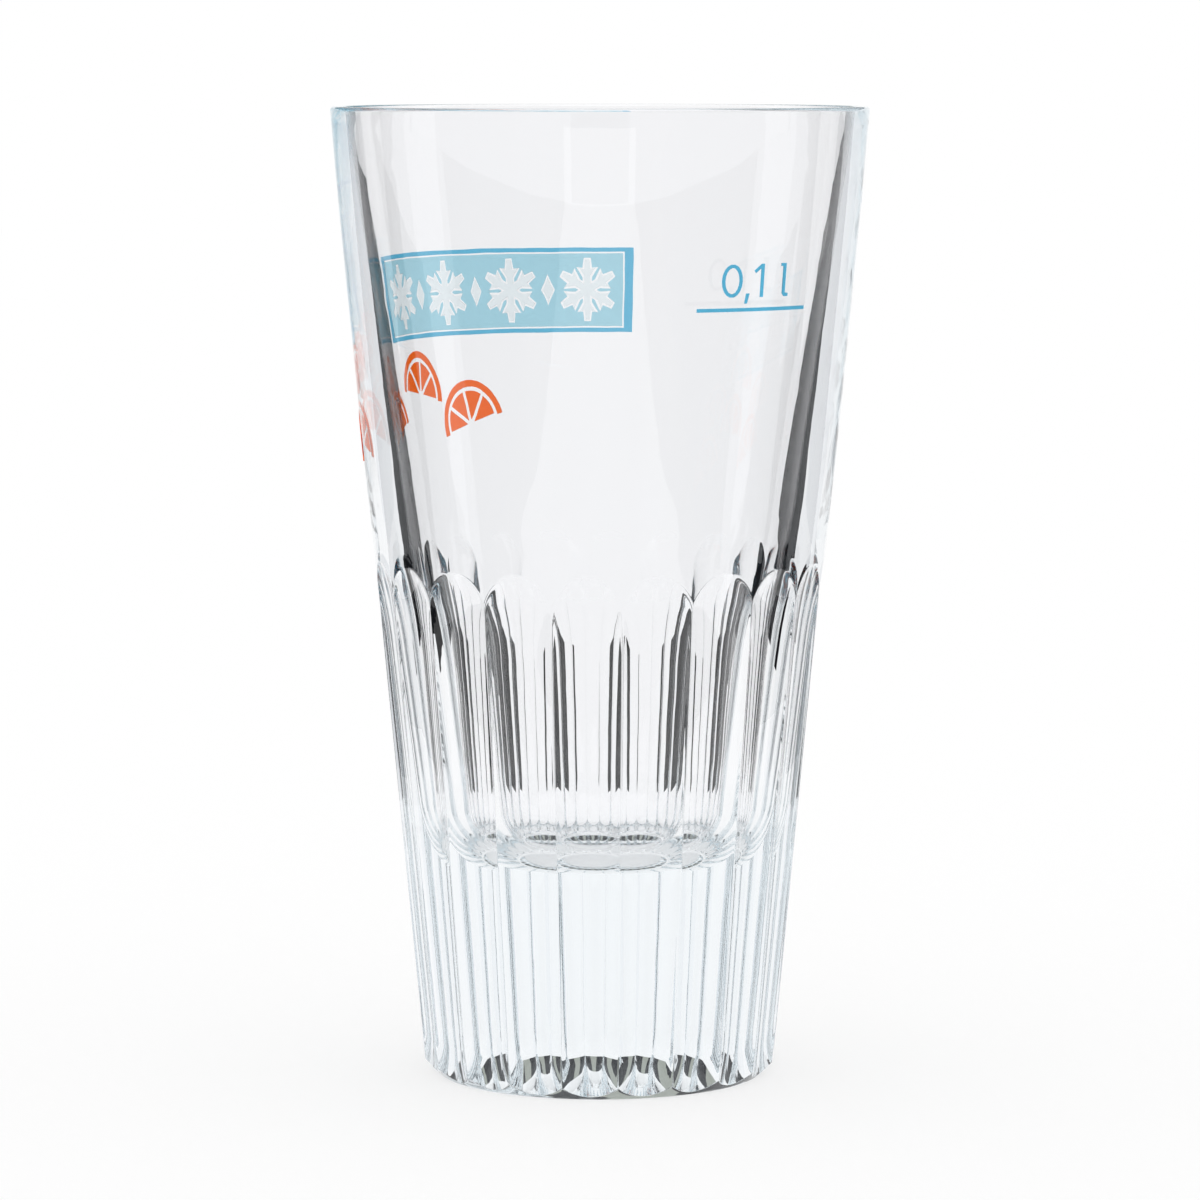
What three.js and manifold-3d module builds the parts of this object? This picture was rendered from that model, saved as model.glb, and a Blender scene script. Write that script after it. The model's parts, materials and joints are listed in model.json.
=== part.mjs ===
import * as THREE from 'three';
import { TessellateModifier } from 'three/addons/modifiers/TessellateModifier.js';
import { mergeVertices } from 'three/addons/utils/BufferGeometryUtils.js';
import loadManifold from 'manifold-3d';

// A pressed glass tumbler with a fluted lower half and fired enamel marks, in millimetres.
// +Z is up, the foot ring rests on Z = 0 and the front faces -Y.
// Bearings are degrees round the glass from the front towards +X.

// The pressed body: a plain cone outside, a steeper cone inside, over a thick solid base
const body = {
  height: 115,
  rimRadius: 31.85,
  footRadius: 20.9,
  rimThickness: 1.6,
  boreTaper: 0.148,
  floorHeight: 26.2,
  floorCorner: 8,
  footChamfer: 1.6,
  domeRadius: 18.2,
  domeDepth: 3.6,
  facets: 80,
};

// The flutes: round hollows that run in from arches and meet in ridges with a narrow land.
// Down the run-in a hollow gets deeper and, from its flattest, rounder.
const flute = {
  count: 20,
  firstRidge: 5.75,
  archTop: 61.8,
  runIn: 11,
  depth: 1.09,
  flattest: 18,
  ridgeLand: 0.3,
  overrun: 3,
  overreach: 1.25,
  facets: 8,
  runInRings: 9,
  lowerRings: 3,
};

// Enamel films, fired on to the outside of the plain wall
const film = { thickness: 0.12, lift: 0.08, longestEdge: 4, curveSegments: 9 };

// The measure mark: a fill line with its capacity in litres
const measure = {
  lineBearing: 36.5,
  lineHeight: 92.2,
  lineLength: 15.5,
  lineWidth: 0.42,
  figureBase: 93.6,
  figureHeight: 3.8,
  zeroBearing: 29.9,
  commaBearing: 33.9,
  oneBearing: 37.2,
  signBearing: 44.2,
};

// The label: a framed band with frost stars and lozenges let into its field
const label = {
  bearing: 214,
  base: 85.4,
  width: 43,
  height: 10.3,
  frameTop: 0.5,
  frameSide: 1.1,
  gap: 0.2,
};
const star = { count: 4, pitch: 10.4, reach: 3.7, arm: 0.42 };
const lozenge = { count: 3, width: 1.5, height: 3 };

// A row of citrus slices under the label
const slice = {
  bearings: [219, 241, 263],
  heights: [74.5, 78.5, 74.5],
  tilts: [-14, 10, -14],
  radius: 5.4,
  rind: 0.8,
  gap: 0.5,
  wedges: 4,
};

const degrees = Math.PI / 180;
const outerTaper = (body.rimRadius - body.footRadius) / body.height;
const outerLean = Math.atan(outerTaper);
const boreLean = Math.atan(body.boreTaper);

const manifold = await loadManifold();
manifold.setup();

// Outside radius of the plain cone at a height
function coneRadius(z) {
  return body.footRadius + outerTaper * z;
}

// Points along an arc in the (radius, height) plane, angles in radians
function arc(centreR, centreZ, radius, from, to, steps) {
  return Array.from({ length: steps + 1 }, (_, i) => {
    const angle = from + ((to - from) * i) / steps;
    return new THREE.Vector2(centreR + radius * Math.cos(angle), centreZ + radius * Math.sin(angle));
  });
}

// A closed surface turned about Z, with its first facet edge at the front
function turn(profile, facets) {
  return new THREE.LatheGeometry(profile, facets).rotateX(Math.PI / 2);
}

// A closed surface through level rings of points, from the lowest up, each anticlockwise from above
function loft(rings) {
  const sides = rings[0].length;
  const index = [];
  for (let low = 0; low < (rings.length - 1) * sides; low += sides) {
    for (let i = 0; i < sides; i += 1) {
      const a = low + i;
      const b = low + ((i + 1) % sides);
      index.push(a, b, b + sides, a, b + sides, a + sides);
    }
  }
  const top = (rings.length - 1) * sides;
  for (let i = 1; i < sides - 1; i += 1) {
    index.push(0, i + 1, i, top, top + i, top + i + 1);
  }
  return new THREE.BufferGeometry().setFromPoints(rings.flat()).setIndex(index);
}

// A closed geometry as a solid that can be cut
function toSolid(geometry) {
  geometry.deleteAttribute('normal');
  geometry.deleteAttribute('uv');
  const merged = mergeVertices(geometry, 1e-4);
  const corners = Array.from(merged.index.array);
  const kept = [];
  for (let i = 0; i < corners.length; i += 3) {
    const [a, b, c] = corners.slice(i, i + 3);
    if (a !== b && b !== c && c !== a) kept.push(a, b, c);
  }
  const vertProperties = new Float32Array(merged.attributes.position.array);
  const triVerts = new Uint32Array(kept);
  return new manifold.Manifold(new manifold.Mesh({ numProp: 3, vertProperties, triVerts }));
}

// A cut solid back as a geometry
function toGeometry(solid) {
  const mesh = solid.getMesh();
  const geometry = new THREE.BufferGeometry();
  geometry.setAttribute('position', new THREE.BufferAttribute(mesh.vertProperties, mesh.numProp));
  geometry.setIndex(new THREE.BufferAttribute(mesh.triVerts, 1));
  geometry.computeVertexNormals();
  return geometry;
}

// The turned blank: domed underside, chamfered foot, cone, round rim, bore and rounded floor
function blankProfile() {
  const rimRound = body.rimThickness / 2;
  const rimZ = body.height - rimRound;
  const rimR = coneRadius(rimZ) - rimRound / Math.cos(outerLean);
  const rim = [
    ...arc(rimR, rimZ, rimRound, -outerLean, Math.PI / 2, 3),
    ...arc(rimR, rimZ, rimRound, Math.PI / 2, Math.PI - boreLean, 3).slice(1),
  ];
  const rimEnd = rim[rim.length - 1];
  const cornerZ = body.floorHeight + body.floorCorner;
  const wallR = rimEnd.x - body.boreTaper * (rimEnd.y - cornerZ);
  const cornerR = wallR - body.floorCorner / Math.cos(boreLean);
  const corner = arc(cornerR, cornerZ, body.floorCorner, -boreLean, -Math.PI / 2, 5);
  const hemR = coneRadius(body.footChamfer);
  const ball = (body.domeRadius ** 2 + body.domeDepth ** 2) / (2 * body.domeDepth);
  const domeEdge = Math.acos(body.domeRadius / ball);
  return [
    new THREE.Vector2(0, body.domeDepth),
    ...arc(0, body.domeDepth - ball, ball, Math.PI / 2, domeEdge, 5).slice(1, -1),
    new THREE.Vector2(body.domeRadius, 0),
    new THREE.Vector2(hemR - body.footChamfer, 0),
    new THREE.Vector2(hemR, body.footChamfer),
    ...rim,
    ...corner,
    new THREE.Vector2(0, body.floorHeight),
  ];
}

// The flute cutter's outline at a height, at the front: the hollow's arc, open to the outside
function cutterRing(z) {
  const wall = coneRadius(z);
  const halfPitch = Math.PI / flute.count;
  const intoRun = THREE.MathUtils.clamp((flute.archTop - z) / flute.runIn, 0, 1);
  const depth = flute.depth * (1 - (1 - intoRun) ** 3);
  const halfChord = wall * Math.sin(halfPitch) - flute.ridgeLand / 2;
  const sag = depth - wall * (1 - Math.cos(halfPitch));
  const fullWidth = (halfChord ** 2 + sag ** 2) / (2 * sag);
  const hollow = sag > 0 ? Math.min(fullWidth, flute.flattest) : flute.flattest;
  const centre = wall + hollow - depth;
  const spread = Math.asin((flute.overreach * halfChord) / hollow);
  const side = hollow * Math.sin(spread);
  const ring = [
    new THREE.Vector3(-side, -wall - flute.overrun, z),
    new THREE.Vector3(side, -wall - flute.overrun, z),
  ];
  for (let i = 0; i <= flute.facets; i += 1) {
    const angle = spread * (1 - (2 * i) / flute.facets);
    ring.push(new THREE.Vector3(hollow * Math.sin(angle), hollow * Math.cos(angle) - centre, z));
  }
  return ring;
}

// The cutter from below the foot up to the arch, its rings closer together towards the arch
function fluteCutter() {
  const runInFoot = flute.archTop - flute.runIn;
  const heights = [];
  for (let i = 0; i < flute.lowerRings; i += 1) {
    heights.push(-flute.overrun + ((runInFoot + flute.overrun) * i) / flute.lowerRings);
  }
  for (let i = 0; i <= flute.runInRings; i += 1) {
    heights.push(flute.archTop - flute.runIn * (1 - i / flute.runInRings) ** 2);
  }
  return loft(heights.map(cutterRing));
}

// The blank with its flutes cut, a ridge between each pair
function glassBody() {
  const pitch = (360 / flute.count) * degrees;
  const firstFlute = flute.firstRidge * degrees + pitch / 2;
  let glass = toSolid(turn(blankProfile(), body.facets).rotateZ(flute.firstRidge * degrees));
  for (let i = 0; i < flute.count; i += 1) {
    glass = glass.subtract(toSolid(fluteCutter().rotateZ(firstFlute + i * pitch)));
  }
  return toGeometry(glass);
}

// A flat shape, drawn as seen from outside, laid on the cone as an enamel film
function enamel(shape, bearing, base) {
  const plate = new THREE.ExtrudeGeometry(shape, {
    depth: film.thickness,
    bevelEnabled: false,
    curveSegments: film.curveSegments,
  });
  plate.deleteAttribute('normal');
  plate.deleteAttribute('uv');
  const laid = mergeVertices(new TessellateModifier(film.longestEdge, 16).modify(plate), 1e-4);
  const point = laid.attributes.position;
  const wrapRadius = coneRadius(base);
  for (let i = 0; i < point.count; i += 1) {
    const angle = bearing * degrees + point.getX(i) / wrapRadius;
    const z = base + point.getY(i);
    const radius = coneRadius(z) + film.lift + point.getZ(i);
    point.setXYZ(i, radius * Math.sin(angle), -radius * Math.cos(angle), z);
  }
  laid.computeVertexNormals();
  return laid;
}

function polygon(points) {
  return new THREE.Shape(points.map(([x, y]) => new THREE.Vector2(x, y)));
}

function rectangle(width, height) {
  return polygon([[-width / 2, 0], [width / 2, 0], [width / 2, height], [-width / 2, height]]);
}

function digitZero() {
  const tall = measure.figureHeight / 2;
  const zero = new THREE.Shape().absellipse(0, tall, 1.35, tall, 0, 2 * Math.PI);
  zero.holes.push(new THREE.Path().absellipse(0, tall, 0.95, tall - 0.4, 0, 2 * Math.PI));
  return zero;
}

function digitOne() {
  const top = measure.figureHeight;
  const stem = [[0.1, 0], [0.52, 0], [0.52, top], [0.16, top]];
  return polygon([...stem, [-0.85, top - 0.75], [-0.66, top - 1.05], [0.1, top - 0.48]]);
}

function decimalComma() {
  return polygon([[-0.34, -0.7], [0, -0.7], [0.3, 0.45], [-0.14, 0.45]]);
}

function litreSign() {
  const top = measure.figureHeight;
  const foot = [[-0.2, 0.35], [0.1, 0], [0.7, 0], [0.7, 0.36], [0.22, 0.42]];
  return polygon([...foot, [0.22, top], [-0.55, top], [-0.55, top - 0.34], [-0.2, top - 0.34]]);
}

// A six-armed frost star about (x, y), its arms with a pair of barbs each, grown by a margin
function frostStar(x, y, margin = 0, Outline = THREE.Shape) {
  const half = star.arm + margin;
  const tip = star.reach + margin;
  const valley = half / Math.tan(30 * degrees);
  const barb = [[1.7 - margin, -half], [2.75, -1.15 - 1.4 * margin], [2.5 + margin, -half]];
  const edge = [[valley, -half], ...barb, [tip, -half * 0.7]];
  const arm = [...edge, ...edge.slice(1).reverse().map(([along, across]) => [along, -across])];
  const points = [];
  for (let i = 0; i < 6; i += 1) {
    const turned = (i * 60 + 90) * degrees;
    for (const [along, across] of arm) {
      const point = new THREE.Vector2(x + along, y + across);
      points.push(point.rotateAround(new THREE.Vector2(x, y), turned));
    }
  }
  return new Outline(points);
}

function lozengeAt(x, y, margin = 0, Outline = THREE.Shape) {
  const halfWidth = lozenge.width / 2 + margin;
  const halfHeight = lozenge.height / 2 + 2 * margin;
  return new Outline([
    new THREE.Vector2(x + halfWidth, y),
    new THREE.Vector2(x, y + halfHeight),
    new THREE.Vector2(x - halfWidth, y),
    new THREE.Vector2(x, y - halfHeight),
  ]);
}

// Places along the label of a row of motifs
function row(count, pitch) {
  return Array.from({ length: count }, (_, i) => (i - (count - 1) / 2) * pitch);
}

function labelFrame() {
  const frame = rectangle(label.width, label.height);
  const halfInner = label.width / 2 - label.frameSide;
  const innerTop = label.height - label.frameTop;
  frame.holes.push(new THREE.Path([
    new THREE.Vector2(-halfInner, label.frameTop),
    new THREE.Vector2(halfInner, label.frameTop),
    new THREE.Vector2(halfInner, innerTop),
    new THREE.Vector2(-halfInner, innerTop),
  ]));
  return frame;
}

function labelField() {
  const halfWidth = label.width / 2 - label.frameSide - label.gap;
  const low = label.frameTop + label.gap;
  const high = label.height - low;
  const field = polygon([[-halfWidth, low], [halfWidth, low], [halfWidth, high], [-halfWidth, high]]);
  for (const x of row(star.count, star.pitch)) {
    field.holes.push(frostStar(x, label.height / 2, label.gap, THREE.Path));
  }
  for (const x of row(lozenge.count, star.pitch)) {
    field.holes.push(lozengeAt(x, label.height / 2, label.gap, THREE.Path));
  }
  return field;
}

// The half ring of a slice's rind, open side down before its tilt
function sliceRind() {
  const rind = new THREE.Shape();
  rind.absarc(0, 0, slice.radius, 0, Math.PI, false);
  rind.absarc(0, 0, slice.radius - slice.rind, Math.PI, 0, true);
  return rind;
}

// One wedge of flesh, with a pale gap to its neighbours and the rind
function sliceWedge(index) {
  const span = Math.PI / slice.wedges;
  const outer = slice.radius - slice.rind - slice.gap;
  const middle = (index + 0.5) * span;
  const apex = slice.gap / 2 / Math.sin(span / 2);
  const trim = Math.asin(slice.gap / 2 / outer);
  const wedge = new THREE.Shape();
  wedge.absarc(0, 0, outer, index * span + trim, (index + 1) * span - trim, false);
  wedge.lineTo(apex * Math.cos(middle), apex * Math.sin(middle));
  return wedge;
}

// A shape turned about the origin, its arcs as points
function tilted(shape, angle, divisions) {
  const turned = (point) => point.clone().rotateAround(new THREE.Vector2(), angle * degrees);
  return new THREE.Shape(shape.getPoints(divisions).map(turned));
}

function enamelMaterial(color) {
  return new THREE.MeshStandardMaterial({ color, roughness: 0.35, metalness: 0 });
}

const blueEnamel = () => enamelMaterial(0x68bdd8);
const paleEnamel = () => enamelMaterial(0xa5d2e2);
const whiteEnamel = () => enamelMaterial(0xf1f3f3);
const orangeEnamel = () => enamelMaterial(0xe26220);
const clearGlass = new THREE.MeshStandardMaterial({
  color: 0xf2f7f7,
  roughness: 0.03,
  metalness: 0,
  transparent: true,
  opacity: 0.35,
});

const tumbler = new THREE.Group();

function addPiece(name, geometry, material) {
  const mesh = new THREE.Mesh(geometry, material);
  mesh.name = name;
  tumbler.add(mesh);
}

addPiece('glass_body', glassBody(), clearGlass);

const lineBase = measure.lineHeight - measure.lineWidth / 2;
const line = rectangle(measure.lineLength, measure.lineWidth);
addPiece('fill_line', enamel(line, measure.lineBearing, lineBase), blueEnamel());
addPiece('capacity_zero', enamel(digitZero(), measure.zeroBearing, measure.figureBase), blueEnamel());
addPiece('capacity_comma', enamel(decimalComma(), measure.commaBearing, measure.figureBase), blueEnamel());
addPiece('capacity_one', enamel(digitOne(), measure.oneBearing, measure.figureBase), blueEnamel());
addPiece('litre_sign', enamel(litreSign(), measure.signBearing, measure.figureBase), blueEnamel());

addPiece('label_frame', enamel(labelFrame(), label.bearing, label.base), blueEnamel());
addPiece('label_field', enamel(labelField(), label.bearing, label.base), paleEnamel());
row(star.count, star.pitch).forEach((x, i) => {
  const motif = enamel(frostStar(x, label.height / 2), label.bearing, label.base);
  addPiece(`frost_star_${i + 1}`, motif, whiteEnamel());
});
row(lozenge.count, star.pitch).forEach((x, i) => {
  const motif = enamel(lozengeAt(x, label.height / 2), label.bearing, label.base);
  addPiece(`lozenge_${i + 1}`, motif, whiteEnamel());
});

slice.bearings.forEach((bearing, i) => {
  const lay = (shape) => enamel(tilted(shape, slice.tilts[i], film.curveSegments), bearing, slice.heights[i]);
  addPiece(`citrus_${i + 1}_rind`, lay(sliceRind()), orangeEnamel());
  for (let k = 0; k < slice.wedges; k += 1) {
    addPiece(`citrus_${i + 1}_wedge_${k + 1}`, lay(sliceWedge(k)), orangeEnamel());
  }
});

export default tumbler;
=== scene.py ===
import json
import math
import bpy
import bmesh
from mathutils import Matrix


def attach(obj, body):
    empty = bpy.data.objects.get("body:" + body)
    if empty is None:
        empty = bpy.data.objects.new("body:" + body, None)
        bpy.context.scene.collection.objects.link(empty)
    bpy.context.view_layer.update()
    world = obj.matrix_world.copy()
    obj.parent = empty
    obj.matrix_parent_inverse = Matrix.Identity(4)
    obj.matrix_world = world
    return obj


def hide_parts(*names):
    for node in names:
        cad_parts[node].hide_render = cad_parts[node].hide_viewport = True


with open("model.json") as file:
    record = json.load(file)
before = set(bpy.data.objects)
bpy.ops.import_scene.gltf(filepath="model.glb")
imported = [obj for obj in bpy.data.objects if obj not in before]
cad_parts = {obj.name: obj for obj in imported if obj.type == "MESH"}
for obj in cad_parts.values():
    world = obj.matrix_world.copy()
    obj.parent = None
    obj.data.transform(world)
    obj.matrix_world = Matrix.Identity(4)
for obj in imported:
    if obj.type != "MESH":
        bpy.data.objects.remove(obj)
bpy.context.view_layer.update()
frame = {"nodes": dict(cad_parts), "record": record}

mm = 0.001


def linearColour(hexCode):
    # sRGB hex to scene-linear
    parts = [int(hexCode[i:i + 2], 16) / 255 for i in (1, 3, 5)]
    return [p / 12.92 if p <= 0.04045 else ((p + 0.055) / 1.055) ** 2.4 for p in parts] + [1.0]


def addNode(tree, kind, inputs=None, **settings):
    # one node, with its settings and what feeds each input
    node = tree.nodes.new(kind)
    for name, value in settings.items():
        setattr(node, name, value)
    for key, value in (inputs or {}).items():
        if isinstance(value, bpy.types.NodeSocket):
            tree.links.new(value, node.inputs[key])
        else:
            node.inputs[key].default_value = value
    return node


def newMaterial(name):
    material = bpy.data.materials.new(name)
    material.use_nodes = True
    material.node_tree.nodes.clear()
    return material, material.node_tree


# Pressed soda-lime glass: clear, a trace of blue-green through the thick base, rippled by the mould
# where it is fluted and fire polished above
glassLook = {
    "tint": "#FEFEFF",
    "ior": 1.52,
    "absorbColour": "#BCDCE8",
    "absorbPerMetre": 4.0,
    "waveMm": 5.0,
    "waveDepthMm": 0.03,
    "waveDetail": 1.5,
    "polishedShare": 0.3,  # of the ripple, left on the upper wall
    "rippledToMm": 56.0,
    "polishedFromMm": 66.0,
}


def clearGlass():
    material, tree = newMaterial("pressed_soda_lime_glass")
    place = addNode(tree, "ShaderNodeTexCoord")
    wave = addNode(tree, "ShaderNodeTexNoise", {
        "Vector": place.outputs["Object"],
        "Scale": 1 / (glassLook["waveMm"] * mm),
        "Detail": glassLook["waveDetail"],
    })
    axes = addNode(tree, "ShaderNodeSeparateXYZ", {0: place.outputs["Object"]})
    ripple = addNode(tree, "ShaderNodeMapRange", {
        "Value": axes.outputs["Z"],
        "From Min": glassLook["rippledToMm"] * mm,
        "From Max": glassLook["polishedFromMm"] * mm,
        "To Min": 1.0,
        "To Max": glassLook["polishedShare"],
    })
    bump = addNode(tree, "ShaderNodeBump", {
        "Height": wave.outputs["Fac"],
        "Distance": glassLook["waveDepthMm"] * mm,
        "Strength": ripple.outputs[0],
    })
    shader = addNode(tree, "ShaderNodeBsdfPrincipled", {
        "Base Color": linearColour(glassLook["tint"]),
        "Roughness": 0.0,
        "IOR": glassLook["ior"],
        "Transmission Weight": 1.0,
        "Normal": bump.outputs["Normal"],
    })
    absorb = addNode(tree, "ShaderNodeVolumeAbsorption", {
        "Color": linearColour(glassLook["absorbColour"]),
        "Density": glassLook["absorbPerMetre"],
    })
    addNode(tree, "ShaderNodeOutputMaterial", {"Surface": shader.outputs[0], "Volume": absorb.outputs[0]})
    return material


# Fired glass enamel, screen printed: a thin satin film that lets light through in its own colour,
# laid down a little unevenly
enamelLook = {
    "grainMm": 0.5,
    "grainDetail": 3.0,
    "thickShade": 0.93,
    "thinShade": 1.06,
    "roughness": 0.32,
    "ior": 1.05,  # low, because the film is fused to the glass
    "lightThrough": 0.97,
}
# for each slot, the material's name and its colour
enamelColours = {
    "blue_enamel": ("fired_blue_enamel", "#62BEE0"),
    "pale_blue_enamel": ("fired_pale_blue_enamel", "#ACDCEA"),
    "white_enamel": ("fired_white_enamel", "#F0F8FB"),
    "orange_enamel": ("fired_orange_enamel", "#FF6E20"),
}


def enamel(name, hexCode):
    material, tree = newMaterial(name)
    place = addNode(tree, "ShaderNodeTexCoord")
    grain = addNode(tree, "ShaderNodeTexNoise", {
        "Vector": place.outputs["Object"],
        "Scale": 1 / (enamelLook["grainMm"] * mm),
        "Detail": enamelLook["grainDetail"],
    })
    colour = linearColour(hexCode)[:3]
    shade = addNode(tree, "ShaderNodeMix", {
        0: grain.outputs["Fac"],
        6: [c * enamelLook["thickShade"] for c in colour] + [1],
        7: [min(1, c * enamelLook["thinShade"]) for c in colour] + [1],
    }, data_type="RGBA")
    shader = addNode(tree, "ShaderNodeBsdfPrincipled", {
        "Base Color": shade.outputs[2],
        "Roughness": enamelLook["roughness"],
        "IOR": enamelLook["ior"],
        "Transmission Weight": enamelLook["lightThrough"],
    })
    addNode(tree, "ShaderNodeOutputMaterial", {"Surface": shader.outputs[0]})
    return material


# The pressed body, in millimetres, as the CAD has it but for the rim's two edges and the film bed
tumbler = {
    "height": 115.0,
    "rimRadius": 31.85,
    "footRadius": 20.9,
    "rimThickness": 1.6,
    "rimEdge": 0.45,
    "boreTaper": 0.148,
    "floorHeight": 26.2,
    "floorCorner": 8.0,
    "footChamfer": 1.6,
    "domeRadius": 18.2,
    "domeDepth": 3.6,
    "levelAboveArch": 3.0,
    "filmBed": 0.10,  # the wall swells by this to meet the films, which the CAD lays just off it
    "bedFadeBelow": 8.0,
    "bedFadeAbove": 12.0,
    "weld": 0.002,
}
# rows of faces along each stretch of its profile
profileRows = {"dome": 18, "ring": 3, "wall": 24, "rimEdge": 10, "bore": 14, "floorCorner": 14, "floor": 6}
taper = (tumbler["rimRadius"] - tumbler["footRadius"]) / tumbler["height"]
hemRadius = tumbler["footRadius"] + taper * tumbler["footChamfer"]

# Flutes: round hollows that run in from arches and meet in ridges. These are the tree's inputs
flutes = {
    "Count": 20,
    "Columns per flute": 24,
    "First ridge": math.radians(5.75),
    "Arch top": 61.8 * mm,
    "Depth": 1.09 * mm,
    "Run-in": 11.0 * mm,
    "Flattest": 18.0 * mm,
    "Edge round": 0.12 * mm,
    "Foot radius": tumbler["footRadius"] * mm,
    "Taper": taper,
    "Ring radius": (hemRadius - tumbler["footChamfer"]) * mm,
}
flutes["Level ring"] = flutes["Arch top"] + tumbler["levelAboveArch"] * mm


def steps(start, end, count):
    return [start + (end - start) * i / count for i in range(count + 1)]


def eased(share):
    share = min(max(share, 0), 1)
    return share * share * (3 - 2 * share)


def arcPoints(centreR, centreZ, radius, start, end, count):
    angles = steps(start, end, count)
    return [(centreR + radius * math.cos(a), centreZ + radius * math.sin(a), -1) for a in angles]


def undersidePoints():
    t = tumbler
    domeR = (t["domeRadius"] ** 2 + t["domeDepth"] ** 2) / (2 * t["domeDepth"])
    domeZ = t["domeDepth"] - domeR
    dome = steps(0, t["domeRadius"], profileRows["dome"])
    ring = steps(t["domeRadius"], flutes["Ring radius"] / mm, profileRows["ring"])
    return [(r, domeZ + math.sqrt(domeR ** 2 - r ** 2), -1) for r in dome] + [(r, 0, -1) for r in ring[1:]]


def flutedPoints():
    # from, to and rows, which crowd where the arches leave the cone
    stretches = ((0, 1, 6), (1, 1.7, 12), (1.7, 1.94, 22), (1.94, 2, 16), (2, 2.15, 6), (2.15, 3, 6))
    return [(0, 0, rise) for start, end, count in stretches for rise in steps(start, end, count)[1:]]


def wallAndRimPoints(outerLean, boreLean):
    t = tumbler
    edge = t["rimEdge"]
    edgeZ = t["height"] - edge
    levelZ = flutes["Level ring"] / mm
    wallTop = edgeZ - edge * math.sin(outerLean)
    points = []
    for z in steps(levelZ, wallTop, profileRows["wall"])[1:]:
        bed = t["filmBed"] * eased((z - levelZ) / t["bedFadeBelow"])
        bed *= eased((wallTop - z) / t["bedFadeAbove"])
        points.append((t["footRadius"] + taper * z + bed, z, -1))
    # the bore keeps the place it has under the CAD's lip, which is one full round
    lip = t["rimThickness"] / 2
    lipR = t["footRadius"] + taper * (t["height"] - lip) - lip / math.cos(outerLean)
    outR = t["footRadius"] + taper * edgeZ - edge / math.cos(outerLean)
    inR = lipR - (lip - edge) * (1 / math.cos(boreLean) - t["boreTaper"])
    points += arcPoints(outR, edgeZ, edge, -outerLean, math.pi / 2, profileRows["rimEdge"])[1:]
    return points + arcPoints(inR, edgeZ, edge, math.pi / 2, math.pi - boreLean, profileRows["rimEdge"])


def borePoints(boreLean, endR, endZ):
    t = tumbler
    cornerZ = t["floorHeight"] + t["floorCorner"]
    wallR = endR - t["boreTaper"] * (endZ - cornerZ)
    cornerR = wallR - t["floorCorner"] / math.cos(boreLean)
    corner = arcPoints(
        cornerR, cornerZ, t["floorCorner"], -boreLean, -math.pi / 2, profileRows["floorCorner"])
    fallR, fallZ = corner[0][0] - endR, corner[0][1] - endZ
    points = [(endR + fallR * f, endZ + fallZ * f, -1) for f in steps(0, 1, profileRows["bore"])[1:]]
    points += corner[1:]
    return points + [(r, t["floorHeight"], -1) for r in steps(corner[-1][0], 0, profileRows["floor"])[1:]]


def profileObject(name):
    # (radius, height, rise) from the underside's middle to the floor's middle; rise 0 to 1 is the
    # chamfer, 1 to 2 the flutes, 2 to 3 the wall up to a level ring, and -1 is turned as it stands
    outerLean, boreLean = math.atan(taper), math.atan(tumbler["boreTaper"])
    points = undersidePoints() + flutedPoints() + wallAndRimPoints(outerLean, boreLean)
    points += borePoints(boreLean, *points[-1][:2])
    edges = [(i, i + 1) for i in range(len(points) - 1)]
    mesh = bpy.data.meshes.new(name)
    mesh.from_pydata([(r * mm, 0, z * mm) for r, z, rise in points], edges, [])
    rises = mesh.attributes.new("rise", "FLOAT", "POINT")
    rises.data.foreach_set("value", [rise for r, z, rise in points])
    piece = bpy.data.objects.new(name, mesh)
    bpy.context.collection.objects.link(piece)
    return piece


def hollowSums(hollow, wall, depth):
    # radius of the circle through two ridges on the wall that is this deep between them
    chord, sag, leastSag = hollow + "Chord", hollow + "Sag", 0.01 * mm
    return [
        (chord, "MULTIPLY", wall, "ridgeSine"),
        (chord, "MULTIPLY", chord, chord),
        (sag, "MULTIPLY", wall, "ridgeCosine"),
        (sag, "SUBTRACT", wall, sag),
        (sag, "SUBTRACT", depth, sag),
        (sag, "MAXIMUM", sag, leastSag),
        (hollow, "MULTIPLY", sag, sag),
        (hollow, "ADD", chord, hollow),
        (sag, "MULTIPLY", sag, 2),
        (hollow, "DIVIDE", hollow, sag),
        (hollow, "MINIMUM", hollow, "Flattest"),
    ]


def fluteSums(flute, wall, depth, hollow, angle):
    # distance of the hollow from the axis, at an angle from its middle
    centre, aside = flute + "Centre", flute + "Aside"
    return [
        (centre, "SUBTRACT", hollow, depth),
        (centre, "ADD", wall, centre),
        (aside, "SINE", angle),
        (aside, "MULTIPLY", centre, aside),
        (aside, "MULTIPLY", aside, aside),
        (flute, "MULTIPLY", hollow, hollow),
        (flute, "SUBTRACT", flute, aside),
        (flute, "MAXIMUM", flute, 0),
        (flute, "SQRT", flute),
        (aside, "COSINE", angle),
        (aside, "MULTIPLY", centre, aside),
        (flute, "SUBTRACT", aside, flute),
    ]


def shareSums(share):
    # held between 0 and 1
    return [(share, "MAXIMUM", share, 0), (share, "MINIMUM", share, 1)]


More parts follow.
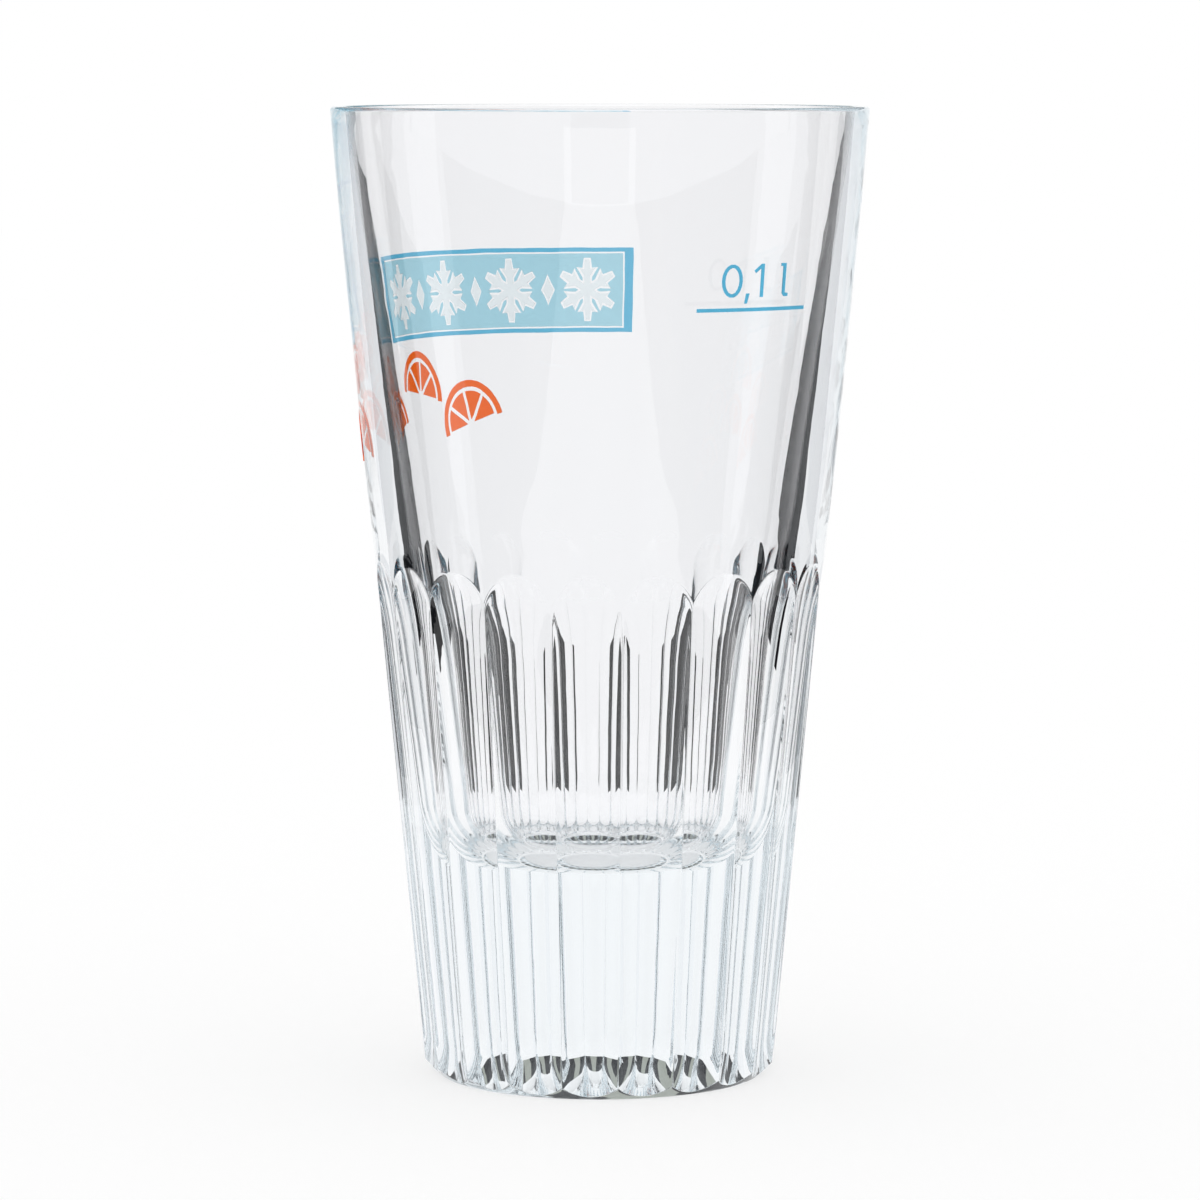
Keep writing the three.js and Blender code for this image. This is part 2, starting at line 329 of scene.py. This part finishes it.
def bodySums():
    # one Math node to a row: the name of its result, what it does, and what feeds it
    hair = 0.0001  # keeps rounding from losing a ridge
    fullest = 0.999  # share of the depth at which an arch may end
    runInPower = 3  # how a hollow's depth comes in below its arch
    sums = [
        # angle from the middle of the nearest flute, with columns crowded towards the ridges
        ("pitch", "DIVIDE", math.tau, "Count"),
        ("halfPitch", "DIVIDE", "pitch", 2),
        ("ridgeSine", "SINE", "halfPitch"),
        ("ridgeCosine", "COSINE", "halfPitch"),
        ("along", "DIVIDE", "column", "Columns per flute"),
        ("which", "ADD", "along", hair),
        ("which", "FLOOR", "which"),
        ("across", "SUBTRACT", "along", "which"),
        ("across", "SUBTRACT", "across", 0.5),
        ("across", "MULTIPLY", "across", math.pi),
        ("across", "SINE", "across"),
        ("offset", "MULTIPLY", "across", "halfPitch"),
        ("nextOffset", "ABSOLUTE", "offset"),
        ("nextOffset", "SUBTRACT", "pitch", "nextOffset"),
        ("bearing", "ADD", "which", 0.5),
        ("bearing", "MULTIPLY", "bearing", "pitch"),
        ("bearing", "ADD", "bearing", "offset"),
        ("bearing", "ADD", "First ridge", "bearing"),
        ("headingX", "SINE", "bearing"),
        ("headingY", "COSINE", "bearing"),
        ("headingY", "MULTIPLY", "headingY", -1),
        # the arch where a hollow of the flattest kind leaves the cone
        ("archWall", "MULTIPLY_ADD", "Arch top", "Taper", "Foot radius"),
        ("archBow", "COSINE", "offset"),
        ("archBow", "MULTIPLY", "archWall", "archBow"),
        ("archBow", "SUBTRACT", "archWall", "archBow"),
        ("archChord", "SINE", "offset"),
        ("archChord", "MULTIPLY", "archWall", "archChord"),
        ("archChord", "MULTIPLY", "archChord", "archChord"),
        ("archDepth", "MULTIPLY", "Flattest", "Flattest"),
        ("archDepth", "SUBTRACT", "archDepth", "archChord"),
        ("archDepth", "SQRT", "archDepth"),
        ("archDepth", "SUBTRACT", "Flattest", "archDepth"),
        ("archDepth", "ADD", "archBow", "archDepth"),
        ("archDrop", "DIVIDE", "archDepth", "Depth"),
        ("archDrop", "MINIMUM", "archDrop", fullest),
        ("archDrop", "SUBTRACT", 1, "archDrop"),
        ("archDrop", "POWER", "archDrop", 1 / runInPower),
        ("archDrop", "SUBTRACT", 1, "archDrop"),
        ("archDrop", "MULTIPLY", "archDrop", "Run-in"),
        ("archZ", "SUBTRACT", "Arch top", "archDrop"),
    ]
    # the hem where the flutes meet the foot's chamfer
    sums += hollowSums("hemHollow", "Foot radius", "Depth")
    sums += fluteSums("hem", "Foot radius", "Depth", "hemHollow", "offset")
    sums += [
        ("hemZ", "SUBTRACT", "hem", "Ring radius"),
        ("hemLean", "SUBTRACT", 1, "Taper"),
        ("hemZ", "DIVIDE", "hemZ", "hemLean"),
    ]
    # height of each row: foot to hem, hem to arch, arch to level ring
    for i, share in enumerate(("footRise", "fluteRise", "wallRise")):
        sums += [(share, "SUBTRACT", "rise", i)] + shareSums(share)
    sums += [
        ("z", "MULTIPLY", "hemZ", "footRise"),
        ("fluteSpan", "SUBTRACT", "archZ", "hemZ"),
        ("z", "MULTIPLY_ADD", "fluteSpan", "fluteRise", "z"),
        ("wallSpan", "SUBTRACT", "Level ring", "archZ"),
        ("z", "MULTIPLY_ADD", "wallSpan", "wallRise", "z"),
        ("cone", "MULTIPLY_ADD", "z", "Taper", "Foot radius"),
        # the hollow's depth down its middle: it runs in from the arch and stays even below
        ("below", "SUBTRACT", "Arch top", "z"),
        ("below", "DIVIDE", "below", "Run-in"),
    ]
    sums += shareSums("below") + [
        ("depth", "SUBTRACT", 1, "below"),
        ("depth", "POWER", "depth", runInPower),
        ("depth", "SUBTRACT", 1, "depth"),
        ("depth", "MULTIPLY", "Depth", "depth"),
    ]
    # radius there: the least of the cone, the two nearest flutes and the chamfer
    sums += hollowSums("hollow", "cone", "depth")
    sums += fluteSums("near", "cone", "depth", "hollow", "offset")
    sums += fluteSums("far", "cone", "depth", "hollow", "nextOffset")
    return sums + [
        ("chamfer", "ADD", "Ring radius", "z"),
        ("radius", "SMOOTH_MIN", "near", "far", "Edge round"),
        ("radius", "SMOOTH_MIN", "radius", "cone", "Edge round"),
        ("radius", "SMOOTH_MIN", "radius", "chamfer", "Edge round"),
        ("isWall", "GREATER_THAN", "rise", 0),
    ]


def flutedBodyTree(material):
    # turns the profile about Z and cuts the flutes by rule, all in metres and radians
    tree = bpy.data.node_groups.new("fluted_body", "GeometryNodeTree")
    tree.interface.new_socket("Geometry", in_out="INPUT", socket_type="NodeSocketGeometry")
    for name in flutes:
        kind = "NodeSocketInt" if name in ("Count", "Columns per flute") else "NodeSocketFloat"
        tree.interface.new_socket(name, in_out="INPUT", socket_type=kind)
    tree.interface.new_socket("Geometry", in_out="OUTPUT", socket_type="NodeSocketGeometry")
    given = addNode(tree, "NodeGroupInput").outputs
    profile = given["Geometry"]

    # one grid column for each step round the glass, one row for each profile point
    rows = addNode(tree, "GeometryNodeAttributeDomainSize", {0: profile}).outputs["Point Count"]
    columns = addNode(tree, "FunctionNodeIntegerMath", {
        0: given["Count"], 1: given["Columns per flute"], 2: 1}, operation="MULTIPLY_ADD")
    grid = addNode(tree, "GeometryNodeMeshGrid", {"Vertices X": columns.outputs[0], "Vertices Y": rows})
    index = addNode(tree, "GeometryNodeInputIndex").outputs[0]
    column = addNode(tree, "FunctionNodeIntegerMath", {0: index, 1: rows}, operation="DIVIDE_FLOOR")
    row = addNode(tree, "FunctionNodeIntegerMath", {0: index, 1: rows}, operation="MODULO")
    place = addNode(tree, "GeometryNodeInputPosition")
    turned = addNode(tree, "GeometryNodeSampleIndex", {
        "Geometry": profile, "Value": place.outputs[0], "Index": row.outputs[0]}, data_type="FLOAT_VECTOR")
    turnedXyz = addNode(tree, "ShaderNodeSeparateXYZ", {0: turned.outputs[0]}).outputs
    riseName = addNode(tree, "GeometryNodeInputNamedAttribute", {"Name": "rise"}, data_type="FLOAT")
    rise = addNode(tree, "GeometryNodeSampleIndex", {
        "Geometry": profile, "Value": riseName.outputs[0], "Index": row.outputs[0]}, data_type="FLOAT")

    wires = {name: given[name] for name in flutes}
    wires.update(column=column.outputs[0], rise=rise.outputs[0])
    for name, operation, *feeds in bodySums():
        inputs = {i: wires.get(feed, feed) for i, feed in enumerate(feeds)}
        wires[name] = addNode(tree, "ShaderNodeMath", inputs, operation=operation).outputs[0]

    # turned rows keep their own radius and height
    isWall = wires["isWall"]
    radius = addNode(tree, "ShaderNodeMix", {0: isWall, 2: turnedXyz[0], 3: wires["radius"]}).outputs[0]
    z = addNode(tree, "ShaderNodeMix", {0: isWall, 2: turnedXyz[2], 3: wires["z"]}).outputs[0]
    heading = addNode(tree, "ShaderNodeCombineXYZ", {0: wires["headingX"], 1: wires["headingY"], 2: 1})
    reach = addNode(tree, "ShaderNodeCombineXYZ", {0: radius, 1: radius, 2: z})
    spot = addNode(tree, "ShaderNodeVectorMath", {
        0: heading.outputs[0], 1: reach.outputs[0]}, operation="MULTIPLY")
    turnedMesh = addNode(tree, "GeometryNodeSetPosition", {
        "Geometry": grid.outputs[0], "Position": spot.outputs[0]})
    closed = addNode(tree, "GeometryNodeMergeByDistance", {
        "Geometry": turnedMesh.outputs[0], "Distance": tumbler["weld"] * mm})
    smooth = addNode(tree, "GeometryNodeSetShadeSmooth", {"Geometry": closed.outputs[0]})
    real = addNode(tree, "GeometryNodeRealizeInstances", {0: smooth.outputs[0]})
    dressed = addNode(tree, "GeometryNodeSetMaterial", {"Geometry": real.outputs[0], "Material": material})
    addNode(tree, "NodeGroupOutput", {0: dressed.outputs[0]})
    return tree


def plainMesh(piece, tree, values):
    # runs the tree on the piece, and leaves its result as a plain mesh
    modifier = piece.modifiers.new(tree.name, "NODES")
    modifier.node_group = tree
    for socket in tree.interface.items_tree:
        if socket.in_out == "INPUT" and socket.name in values:
            modifier[socket.identifier] = values[socket.name]
    made = bpy.data.meshes.new_from_object(piece.evaluated_get(bpy.context.evaluated_depsgraph_get()))
    piece.modifiers.remove(modifier)
    old = piece.data
    piece.data = made
    bpy.data.meshes.remove(old)
    return piece


glass = plainMesh(profileObject("tumbler_glass"), flutedBodyTree(clearGlass()), flutes)
work = bmesh.new()
work.from_mesh(glass.data)
bmesh.ops.recalc_face_normals(work, faces=work.faces)
work.to_mesh(glass.data)
work.free()
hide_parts("glass_body")
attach(glass, "root")
print("glass body", len(glass.data.polygons), "faces")

enamels = {slot: enamel(name, hexCode) for slot, (name, hexCode) in enamelColours.items()}
for sub in frame["record"]["subparts"]:
    if sub["material_slot"] in enamels:
        node = frame["nodes"][sub["node"]]
        node.data.materials.clear()
        node.data.materials.append(enamels[sub["material_slot"]])
print("enamel dressed")

# Camera at the photograph's place: just above the rim, a long lens, tipped down a little
view = {
    "awayMm": 626.1,
    "heightMm": 121.0,
    "pitchDeg": 5.884,
    "focalPx": 5288.3,
    "framePx": 1200,
    "sensorMm": 36,
    "nearestMm": 10,
}
lens = bpy.data.cameras.new("camera")
lens.sensor_width = view["sensorMm"]
lens.lens = view["sensorMm"] * view["focalPx"] / view["framePx"]
lens.clip_start = view["nearestMm"] * mm
camera = bpy.data.objects.new("camera", lens)
camera.location = (0, -view["awayMm"] * mm, view["heightMm"] * mm)
camera.rotation_euler = (math.radians(90 - view["pitchDeg"]), 0, 0)
bpy.context.collection.objects.link(camera)
bpy.context.scene.camera = camera
print("camera set")

# Studio: white table and surround, black cards beside and behind the glass, a grey hood high up at
# the back and a dark room behind the camera. Only the glass and its films see cards, hood and room,
# which turn with the camera, as on a turntable shoot
studio = {
    "floorMm": 6000,
    "floorMatte": 0.4,
    "floorGlow": 0.6,
    "cardColour": "#141518",
    # low and high cards and walls: painted pale colours that they show instead of black where solid glass
    # sees them, which paint light into the glass's solid parts
    "lowPaintedPale": "#FAFBFC",
    "highPaintedPale": "#ECEEF0",
    "wallPaintedPale": "#F4F6F8",
    "hoodColour": "#A6AAA2",
    "hoodSideColour": "#2C2E32",
    "hoodMiddleMm": 140,
    "hoodFromMm": 300,
    "hoodReachMm": 1200,
    "hoodBehindMm": 1000,
    "roomColour": "#34363A",
    "roomReachMm": 900,
    "roomBehindMm": 40,
    # corners in millimetres: out from the middle, behind the glass, above the table
    "lowCard": ((46, 120, 0), (145, 120, 0), (145, 120, 30), (46, 120, 30)),
    "leftHighCard": ((78, 120, 30), (145, 120, 30), (145, 120, 87), (62, 120, 87)),
    "rightHighCard": ((66, 120, 30), (145, 120, 30), (145, 120, 110), (62, 120, 110)),
    "sideCard": (
        (145, 120, 0), (195, 10, 0), (195, 10, 45), (168, 69, 80), (165, 76, 110), (145, 120, 110),
    ),
    "footCard": ((36, 80, 0.3), (110, 80, 0.3), (145, 120, 0.3), (46, 120, 0.3)),
    "wallCard": ((110, 8, 20), (110, -420, 20), (110, -420, 220), (110, 8, 220)),
    # light trapped in the rim and the base turns many times before it gets out
    "lightTurns": 64,
    "clearTurns": 16,
}
white = (1, 1, 1, 1)


def whiteSurround():
    world = bpy.data.worlds.new("white_surround")
    bpy.context.scene.world = world
    world.use_nodes = True
    tree = world.node_tree
    tree.nodes.clear()
    light = addNode(tree, "ShaderNodeBackground", {"Color": white, "Strength": 1.0})
    addNode(tree, "ShaderNodeOutputWorld", {"Surface": light.outputs[0]})


# White table board: part glow, which keeps it even, and part matte, which keeps the shadow
def floorMaterial():
    material, tree = newMaterial("white_table")
    matte = addNode(tree, "ShaderNodeBsdfDiffuse", {"Color": [studio["floorMatte"]] * 3 + [1]})
    glow = addNode(tree, "ShaderNodeEmission", {"Color": white, "Strength": studio["floorGlow"]})
    both = addNode(tree, "ShaderNodeAddShader", {0: matte.outputs[0], 1: glow.outputs[0]})
    addNode(tree, "ShaderNodeOutputMaterial", {"Surface": both.outputs[0]})
    return material


# Matte card: one flat colour, and a painted pale colour in its place where solid glass sees it, which
# paints light into the glass
def cardMaterial(name, hexCode, paintedPaleHex=None, fewest=0, most=2):
    # fewest to most passes through a glass surface are solid glass, with no bowl on the way
    material, tree = newMaterial(name)
    path = addNode(tree, "ShaderNodeLightPath").outputs
    dark = addNode(tree, "ShaderNodeEmission", {"Color": linearColour(hexCode), "Strength": 1.0})
    # painted light: a pale colour that the card shows only to rays that came through solid glass
    pale = addNode(tree, "ShaderNodeEmission", {
        "Color": linearColour(paintedPaleHex or hexCode), "Strength": 1.0})
    solid = addNode(tree, "ShaderNodeMath", {
        0: path["Transmission Depth"],
        1: (fewest + most) / 2,
        2: (most - fewest + 1) / 2,
    }, operation="COMPARE")
    seen = addNode(tree, "ShaderNodeMixShader", {
        0: solid.outputs[0], 1: dark.outputs[0], 2: pale.outputs[0]})
    # prints behind the glass get their light as if the card were away
    away = addNode(tree, "ShaderNodeEmission", {"Color": white, "Strength": 1.0})
    lights = addNode(tree, "ShaderNodeMath", {0: path["Diffuse Depth"], 1: 0.5}, operation="GREATER_THAN")
    shown = addNode(tree, "ShaderNodeMixShader", {
        0: lights.outputs[0], 1: seen.outputs[0], 2: away.outputs[0]})
    addNode(tree, "ShaderNodeOutputMaterial", {"Surface": shown.outputs[0]})
    return material


def stageMesh(name, corners, material):
    mesh = bpy.data.meshes.new(name)
    mesh.from_pydata([tuple(c * mm for c in p) for p in corners], [], [range(len(corners))])
    mesh.materials.append(material)
    piece = bpy.data.objects.new(name, mesh)
    bpy.context.collection.objects.link(piece)
    return piece


def flag(name, corners, material):
    # a card that only glass sees, carried by the camera
    card = stageMesh(name, corners, material)
    card.visible_camera = False
    card.visible_diffuse = False
    card.visible_shadow = False
    card.parent = camera
    card.matrix_parent_inverse = camera.matrix_world.inverted()


whiteSurround()
half = studio["floorMm"] / 2
tableCorners = [(-half, -half, 0), (half, -half, 0), (half, half, 0), (-half, half, 0)]
stageMesh("table", tableCorners, floorMaterial())
# the low, high and wall cards carry painted pale colours, painted light that solid glass sees
lowLook = cardMaterial("black_card_low", studio["cardColour"], studio["lowPaintedPale"])
highLook = cardMaterial("black_card_high", studio["cardColour"], studio["highPaintedPale"])
sideLook = cardMaterial("black_card_side", studio["cardColour"])
wallLook = cardMaterial("black_wall", studio["cardColour"], studio["wallPaintedPale"], fewest=2)
hoodLook = cardMaterial("grey_hood", studio["hoodColour"])
hoodSideLook = cardMaterial("black_hood", studio["hoodSideColour"])
roomLook = cardMaterial("grey_room", studio["roomColour"])
bpy.context.view_layer.update()
for side, outwards in (("left", -1), ("right", 1)):
    for part, corners, look in (
        ("low", studio["lowCard"], lowLook),
        ("high", studio[side + "HighCard"], highLook),
        ("side", studio["sideCard"], sideLook),
        ("foot", studio["footCard"], lowLook),
        ("wall", studio["wallCard"], wallLook),
    ):
        flag(f"card_{side}_{part}", [(outwards * x, y, z) for x, y, z in corners], look)
middle, reach = studio["hoodMiddleMm"], studio["hoodReachMm"]
behind, low = studio["hoodBehindMm"], studio["hoodFromMm"]
for part, x0, x1, look in (
    ("left", -reach, -middle, hoodSideLook),
    ("middle", -middle, middle, hoodLook),
    ("right", middle, reach, hoodSideLook),
):
    hoodCorners = [(x0, behind, low), (x1, behind, low), (x1, behind, reach), (x0, behind, reach)]
    flag(f"hood_{part}", hoodCorners, look)
room, back = studio["roomReachMm"], -view["awayMm"] - studio["roomBehindMm"]
roomCorners = [(-room, back, -room), (room, back, -room), (room, back, room), (-room, back, room)]
flag("room", roomCorners, roomLook)

scene = bpy.context.scene
scene.view_settings.view_transform = "Standard"
scene.cycles.max_bounces = studio["lightTurns"]
scene.cycles.transmission_bounces = studio["lightTurns"]
scene.cycles.glossy_bounces = studio["lightTurns"]
scene.cycles.transparent_max_bounces = studio["clearTurns"]
print("studio set")
